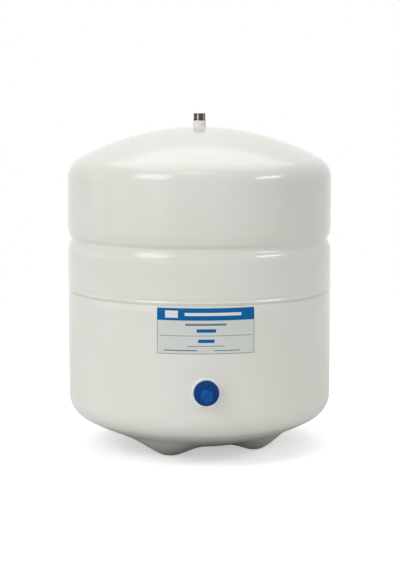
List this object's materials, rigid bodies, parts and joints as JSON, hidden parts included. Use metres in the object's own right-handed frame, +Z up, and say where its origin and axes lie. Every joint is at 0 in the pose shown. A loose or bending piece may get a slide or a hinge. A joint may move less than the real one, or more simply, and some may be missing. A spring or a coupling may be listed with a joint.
{
  "type": "reverse osmosis storage tank",
  "caption": "Upright steel pressure tank with domed ends, a rolled groove, a lap seam, pressed feet, a threaded water nipple on top and a capped air valve low on the front.",
  "frame": {"origin": "on the floor, under the middle of the outer box; the tank's own axis stands 12.1 mm behind it at x = 0, because the valve cap reaches forwards", "axes": "+Z up along the tank, -Y to the front with the valve and label, +X to the right seen from the front"},
  "size_m": [0.2804, 0.3046, 0.3547],
  "materials": {
    "enamel": "gloss off-white powder coat",
    "nipple_steel": "bare turned stainless steel",
    "plated_steel": "bright zinc plate",
    "brass": "turned brass",
    "rubber": "matt black",
    "liner_plastic": "natural polypropylene",
    "seal_plastic": "red fluoroplastic",
    "blue_plastic": "moulded blue plastic",
    "label_film": "printed vinyl film"
  },
  "bodies": {
    "tank": {"upper_shell": "enamel", "lower_shell": "enamel", "seam_weld": "enamel", "nipple_weld": "enamel", "valve_boss": "enamel", "liner": "liner_plastic", "clench_ring": "plated_steel", "diaphragm": "rubber", "nipple_gasket": "rubber", "stem_seal": "rubber", "water_nipple": "nipple_steel", "valve_stem": "brass", "core_body": "brass", "core_seal": "seal_plastic", "core_spring": "plated_steel", "label": "label_film"},
    "cap_carrier": {"cap_gasket": "rubber"},
    "cap": {"valve_cap": "blue_plastic"},
    "pin": {"core_pin": "brass", "pin_seal": "rubber"}
  },
  "joints": [
    {"name": "cap_travel", "type": "slide", "parent": "tank", "child": "cap_carrier", "axis": [0, -1, 0], "range_m": [0, 0.0048]},
    {"name": "cap_turn", "type": "hinge", "parent": "cap_carrier", "child": "cap", "pos_m": [0, -0.14, 0.08268], "axis": [0, -1, 0], "range_deg": [0, 2160]},
    {"name": "pin_press", "type": "slide", "parent": "tank", "child": "pin", "axis": [0, 1, 0], "range_m": [0, 0.0015], "stiffness_N_per_m": 800, "springref_m": -0.001, "deforming": ["core_spring"]}
  ],
  "couplings": [
    {"joint": "cap_travel", "follows": "cap_turn", "m_per_rad": 0.00012634}
  ]
}
